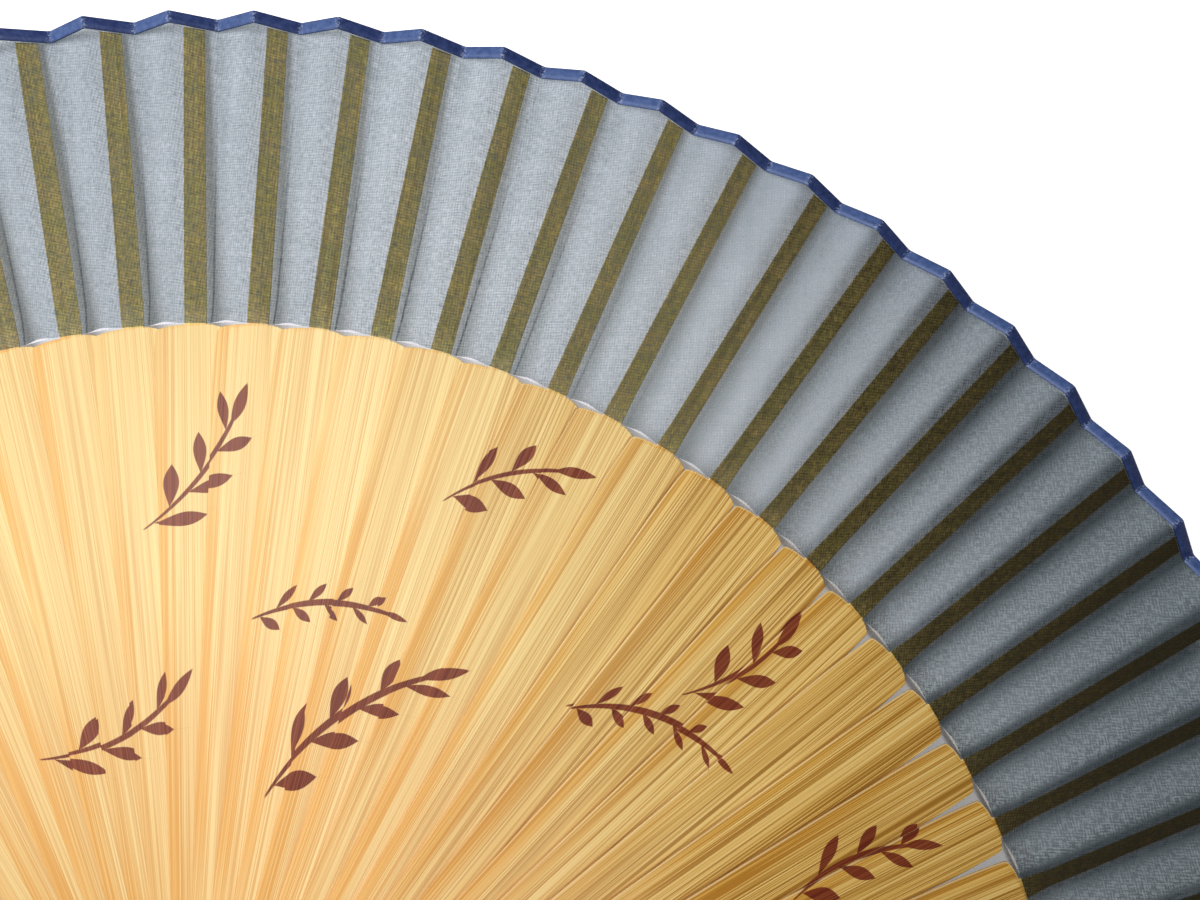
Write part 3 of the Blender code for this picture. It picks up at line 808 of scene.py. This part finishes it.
def bend_tongue(points):
    """Thins a stick's tongue past the shoulder and turns it about the stick's own line, as the pleats lie."""
    x, y, z = points[..., 0], points[..., 1], points[..., 2]
    start = np.clip((y - SHOULDER) / (LEAF_IN - SHOULDER), 0, 1)
    z = z * (1 + (TONGUE / BLADE - 1) * smooth(start))
    turn = twist(y) * start
    middle = y * math.tan(TONGUE_TURN)
    x = x - middle
    c, s = np.cos(turn), np.sin(turn)
    return np.stack((middle + x * c + z * s, y, z * c - x * s), axis=-1)


def add_sticks(look):
    """The inner sticks, each with its own width, tone and place under the painted twigs."""
    chance = np.random.default_rng(12)
    for index in range(1, STICKS + 1):
        change = np.clip((index - WIDTH_CHANGE_MIDDLE) / WIDTH_CHANGE_STICKS, -1, 1)
        width = STICK_WIDTH - WIDTH_CHANGE * change + chance.normal(0, 0.05)
        right, left = stick_side(width, 1), stick_side(width, -1)
        shape = plate(right, left, lambda y: 0 * y - BLADE / 2, lambda y: 0 * y + BLADE / 2, BLADE_ROUNDING)
        tone = chance.normal(0, 0.06)
        jitter = chance.normal(0, 0.25, 2)
        name = f"bamboo_stick_{index:02d}"
        place = stick_angle(index), stick_height(index)
        made = add_plate(name, shape, *place, look, tone, index, jitter, bend_tongue)
        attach(made, f"blade_{index:02d}")
        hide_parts(f"stick_{index:02d}")


def add_guards(look):
    """The two guards, each cut thinner on its inner face, by a short straight slope, where the leaf lies."""

    def cut(y):
        return (GUARD - GUARD_THIN) * np.clip((y - GUARD_CUT) / GUARD_CUT_LENGTH, 0, 1)

    for name, index, bottom, inner in (("rear", 0, 0.0, 1), ("front", STICKS + 1, FRONT_BOTTOM, -1)):

        def low(y):
            return (cut(y) if inner < 0 else 0 * y) - GUARD / 2

        def high(y):
            return GUARD / 2 - (cut(y) if inner > 0 else 0 * y)

        shape = plate(guard_side(), guard_side(), low, high, GUARD_ROUNDING, 5)
        place = stick_angle(index), bottom + GUARD / 2
        made = add_plate(f"bamboo_guard_{name}", shape, *place, look, 0.0, 40 + index)
        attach(made, f"{name}_guard")
        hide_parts(f"guard_{name}")


def add_rivet(look):
    """Pin and two domed heads: a profile turned once round the rivet's axis.

    A dome is a quarter ellipse from its flat end out to its rim, DOME_GAP off the guard.
    """
    turn = np.linspace(math.asin(DOME_FLAT / DOME), math.pi / 2, 12)
    dome = np.stack((DOME * np.sin(turn), DOME_GAP + DOME_HEIGHT * np.cos(turn)), axis=-1)
    half = np.concatenate(([(0.0, RIVET_END), (END_FACE, RIVET_END)], dome, [(PIN, DOME_GAP)]))
    radius = np.concatenate((half[:, 0], half[::-1, 0]))
    height = np.concatenate((-half[:, 1], FRONT_TOP + half[::-1, 1]))
    angle = np.linspace(0, 2 * math.pi, 49)[:, None]
    points = np.stack((radius * np.cos(angle), radius * np.sin(angle), height + 0 * angle), axis=-1)
    made = add_piece("turned_rivet", points, quads(len(radius), len(angle)).tolist(), {}, look)
    close_doubles(made)
    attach(made, "rear_guard")
    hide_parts("rivet")
    return made


def fold(index, side, radius, lift=0.0):
    """A fold of the leaf at stick index: side 1 is its high left fold, -1 its low right one.

    At radius r the fold lies r / cos(PANEL) out, PANEL away from the tongue, and r * tan(PANEL) * tan(twist)
    above or below the middle of its facet. At the guards the facet lies flat, and the leaf ends there.
    """
    ends = {0: GUARD_THIN + CLOTH_OVER_GUARD, STICKS + 1: FRONT_TOP - GUARD_THIN - CLOTH_OVER_GUARD}
    outermost = (index, side) in ((0, 1), (STICKS + 1, -1))
    angle = stick_angle(index) - side * PANEL + (0.0 if outermost else TONGUE_TURN)
    if index in ends:
        height, bend = ends[index] + 0 * radius, 0 * radius
    else:
        height, bend = stick_height(index) + CLOTH_OVER_TONGUE / math.cos(TILT), twist(radius)
    rise = side * radius * math.tan(PANEL) * np.tan(bend) + lift / np.cos(bend)
    along = radius / math.cos(PANEL)
    return np.stack((along * math.sin(angle), along * math.cos(angle), height + rise), axis=-1)


def pleat(index, radius, lift=0.0):
    """One gore across: half a facet, a rounded valley, the free facet, a rounded mountain and half a facet.

    A rounded fold is the quadratic curve from one facet to the next with the fold as its middle point.
    Returns the points, one row for each radius, and the share of the flat cloth to the left of each column.
    """
    first, second = fold(index, 1, radius, lift), fold(index, -1, radius, lift)
    third, fourth = fold(index + 1, 1, radius, lift), fold(index + 1, -1, radius, lift)
    start = first if index == 0 else (first + second) / 2
    end = fourth if index == STICKS else (third + fourth) / 2
    near = FOLD_ROUNDING * (2 if index > 0 else 1)
    far = FOLD_ROUNDING * (2 if index < STICKS else 1)

    def line(before, after):
        return [before + (after - before) * k for k in np.linspace(0, 1, 5)]

    def curve(before, at, after):
        return [before * (1 - k) ** 2 + at * 2 * k * (1 - k) + after * k * k for k in (0.25, 0.5, 0.75)]

    valley_in = second + (start - second) * near
    valley_out = second + (third - second) * FOLD_ROUNDING
    mountain_in = third + (second - third) * FOLD_ROUNDING
    mountain_out = third + (end - third) * far
    columns = line(start, valley_in) + curve(valley_in, second, valley_out) + [valley_out]
    columns += [mountain_in] + curve(mountain_in, third, mountain_out) + line(mountain_out, end)
    points = np.stack(columns, axis=1)
    steps = np.linalg.norm(np.diff(points[-1], axis=0), axis=-1)
    across = np.concatenate(([0.0], np.cumsum(steps)))
    return points, across / across[-1]


def cloth_map(index, across, radius):
    """Place of a gore's points in the flat ring that the leaf is cut from, in centimetres.

    Half a facet takes up an angle of PANEL / cos(TILT) there. A gore has four halves, and five at the guards.
    """
    half = PANEL / math.cos(TILT)
    left = -half if index == 0 else 0.0
    right = 5 * half if index == STICKS else 4 * half
    angle = (index - (STICKS + 1) / 2) * 4 * half + left + (right - left) * across
    return np.stack((radius * np.sin(angle), radius * np.cos(angle)), axis=-1) / 10


def bend_between(made):
    """Bakes a piece's placement into its points.
    """
    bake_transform(made)


def add_gore(index, look):
    """One gore of gauze.

    hem is the distance from the inner edge, valley and ridge are the distances to the right of the two folds
    at the hem, and centre is the distance from a tongue's middle, in millimetres.
    """
    points, across = pleat(index, ALONG_LEAF)
    radius = ALONG_LEAF[:, None]
    cloth = cloth_map(index, across[None, :], radius)
    hem = radius - LEAF_IN + 0 * across
    marks = {
        "hem": hem,
        "valley": (across - 0.25) * 2 * FACET + 0 * hem,
        "ridge": (across - 0.75) * 2 * FACET + 0 * hem,
        "centre": np.minimum(across, 1 - across) * 4 * radius * math.tan(PANEL),
    }
    faces = quads(points.shape[1], points.shape[0]).tolist()
    made = add_piece(f"gauze_gore_{index:02d}", points, faces, {"cloth": cloth}, look, marks)
    bend_between(made)
    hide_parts("leaf")
    return made


def paper_profile():
    """The folded paper's outline as radius and distance from the cloth: a U, half a circle outside its bend.

    The outside goes from the front's inner edge round to the back's, and the inside comes back again.
    """
    half_turn = np.linspace(math.pi / 2, -math.pi / 2, 5)
    outer = [(radius, PAPER_OUTSIDE) for radius in (PAPER_FRONT, 196.8, 197.4)]
    outer += [(PAPER_BEND + PAPER_OUTSIDE * math.cos(a), PAPER_OUTSIDE * math.sin(a)) for a in half_turn]
    outer += [(radius, -PAPER_OUTSIDE) for radius in (197.4, PAPER_BACK)]
    inner = [(radius, -PAPER_INSIDE) for radius in (PAPER_BACK, PAPER_BEND)]
    inner += [(PAPER_BEND + 0.1, 0.0)]
    inner += [(radius, PAPER_INSIDE) for radius in (PAPER_BEND, PAPER_FRONT)]
    return outer + inner


def add_edge_fold(index, look):
    """The paper edge of one gore: its profile carried along the pleats, with an end face at each side.

    The end faces have points of their own, so that the paper's edges stay sharp. The attribute side is the
    distance from the middle of the free facet.
    """
    rows, maps = [], []
    for radius, lift in paper_profile():
        points, across = pleat(index, np.array([radius]), lift)
        rows.append(points[0])
        maps.append(cloth_map(index, across, np.full(len(across), radius + abs(lift))))
    points, cloth = np.stack(rows), np.stack(maps)
    row_count, columns = points.shape[:2]
    side = (across - 0.5) * 4 * LEAF_OUT * math.tan(PANEL) + 0 * points[..., 0]

    def with_ends(grid):
        return np.concatenate((grid.reshape(-1, grid.shape[-1]), grid[:, 0], grid[:, -1]))

    faces = quads(columns, row_count, wrap=True).tolist()
    first = row_count * columns
    second = first + row_count
    faces += [list(range(first, second)), list(range(second + row_count - 1, second - 1, -1))]
    maps, marks = {"cloth": with_ends(cloth)}, {"side": with_ends(side[..., None])}
    made = add_piece(f"edge_fold_{index:02d}", with_ends(points), faces, maps, look, marks)
    bend_between(made)
    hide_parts("edge_binding")
    return made


def add_leaf(gauze, paper):
    """The gores from guard to guard, each with its paper edge. The flat width is that of four half facets at
    the outer radius. At the guards it is that of six, which is more than the cloth of those two gores
    measures there, 20.4 and 18.2 mm.
    """
    for index in range(STICKS + 1):
        gore = add_gore(index, gauze)
        edge = add_edge_fold(index, paper)


# table, light and camera


def table_material():
    """A white table with painted shade where the fan closes the sky over it: there it is tinted, and dimmer
    in its colour and in the glow it shows to the camera.

    The open share of the sky comes from ambient occlusion. At the right the leaf stands high over the table,
    so the table within the leaf's ring counts as closed there, wherever the fan hides a little of the sky.
    The rings, circles about the rivet's end, widen by the cube of the way to the right. Within the sticks'
    ring the table's glow is stronger at the right, as painted light.
    """
    made, w, shader = new_material("table")
    path = w.tree.nodes.new("ShaderNodeLightPath").outputs
    mirrored = w.math("MAXIMUM", path["Is Glossy Ray"], path["Is Transmission Ray"])
    seen = w.math("MAXIMUM", path["Is Camera Ray"], mirrored)
    place = w.place("TexCoord", out="Object")
    x, y, _ = w.split(place)
    from_rivet = w.length(place)
    rightward = w.place("Clamp", {0: w.math("SUBTRACT", x, 0.06), 1: 0.0, 2: 0.12})
    widening = w.math("POWER", rightward, 3.0)

    sky = w.place("AmbientOcclusion", {"Distance": 0.05}, out="AO", samples=8)
    under_leaf = w.times(
        w.ramp(w.shifted(from_rivet, widening, -2.8, middle=0.0), *LEAF_RING),
        w.ramp(x, 0.04, 0.08),
        w.ramp(y, 0.106, 0.114),
        w.ramp(sky, 0.96, 0.88),
    )
    sky = w.times(sky, w.math("SUBTRACT", 1.0, under_leaf))

    shade = w.blend(w.ramp(x, 0.02, 0.09), (0.70, 0.68, 0.71, 1), (0.83, 0.80, 0.84, 1))
    shade = w.blend(w.ramp(x, 0.09, 0.168), shade, (0.38, 0.405, 0.42, 1))
    colour = w.blend(w.ramp(sky, 0.6, 0.25), (0.83, 0.83, 0.84, 1), shade)

    gaps = w.ramp(w.shifted(from_rivet, widening, -8.9, middle=0.0), *STICK_RING, 0.0, 0.22)
    gaps = w.times(gaps, w.ramp(x, 0.06, 0.09))
    closed = w.times(w.ramp(x, -0.04, 0.02, 0.24, 0.36), w.ramp(x, 0.02, 0.12, 1.0, 0.1))
    glow = w.ramp(sky, 0.25, 0.6, w.math("ADD", closed, gaps), 0.85)
    w.fill(shader, {"Base Color": colour, "Roughness": 0.9, "Specular IOR Level": 0.1})
    w.fill(shader, {"Emission Color": (1, 1, 1, 1), "Emission Strength": w.times(seen, glow)})
    return made


def add_floor():
    """The table top: one square face under the fan."""
    size, height = TABLE_SIZE, TABLE_HEIGHT
    mesh = bpy.data.meshes.new("table")
    corners = [(-size, -size, height), (size, -size, height), (size, size, height), (-size, size, height)]
    mesh.from_pydata(corners, [], [(0, 1, 2, 3)])
    mesh.materials.append(table_material())
    made = bpy.data.objects.new("table", mesh)
    bpy.context.scene.collection.objects.link(made)


def add_lamp(name, place, aim, size, power):
    """A round area lamp that points from its place to its aim."""
    data = bpy.data.lights.new(name, "AREA")
    data.shape = "DISK"
    data.size = size
    data.energy = power
    made = bpy.data.objects.new(name, data)
    bpy.context.scene.collection.objects.link(made)
    made.location = place
    made.rotation_euler = (Vector(aim) - Vector(place)).to_track_quat("-Z", "Y").to_euler()
    made.visible_camera = False


def add_light():
    """A white world, faint but for the camera, and one soft lamp from the upper left."""
    world = bpy.data.worlds.new("studio")
    world.use_nodes = True
    bpy.context.scene.world = world
    w = Wiring(world.node_tree)
    path = w.tree.nodes.new("ShaderNodeLightPath").outputs
    strength = w.math("MULTIPLY_ADD", path["Is Camera Ray"], 0.92, 0.08)
    w.fill(world.node_tree.nodes["Background"], {"Strength": strength, "Color": (1, 1, 1, 1)})
    add_lamp("window", place=(-0.10, 0.12, 0.262), aim=(0.10, 0.135, 0.0), size=0.20, power=1.02)


def add_camera():
    """The camera over the fan, as the photograph was taken."""
    data = bpy.data.cameras.new("camera")
    data.sensor_width = 36.0
    data.lens = CAMERA_LENS
    data.clip_start = 0.005
    made = bpy.data.objects.new("camera", data)
    bpy.context.scene.collection.objects.link(made)
    place = to_row(np.array(CAMERA_PLACE))
    axes = Matrix((LIE @ np.array(CAMERA_AXES)).tolist())
    made.matrix_world = Matrix.Translation(Vector(place)) @ axes.to_4x4()
    bpy.context.scene.camera = made


bpy.context.scene.view_settings.view_transform = "Standard"
make_grain_group()
make_weave_group()
make_twig_group()
add_sticks(stick_material())
add_guards(guard_material())
add_rivet(resin_material())
add_leaf(gauze_material(), paper_material())
add_floor()
add_light()
add_camera()
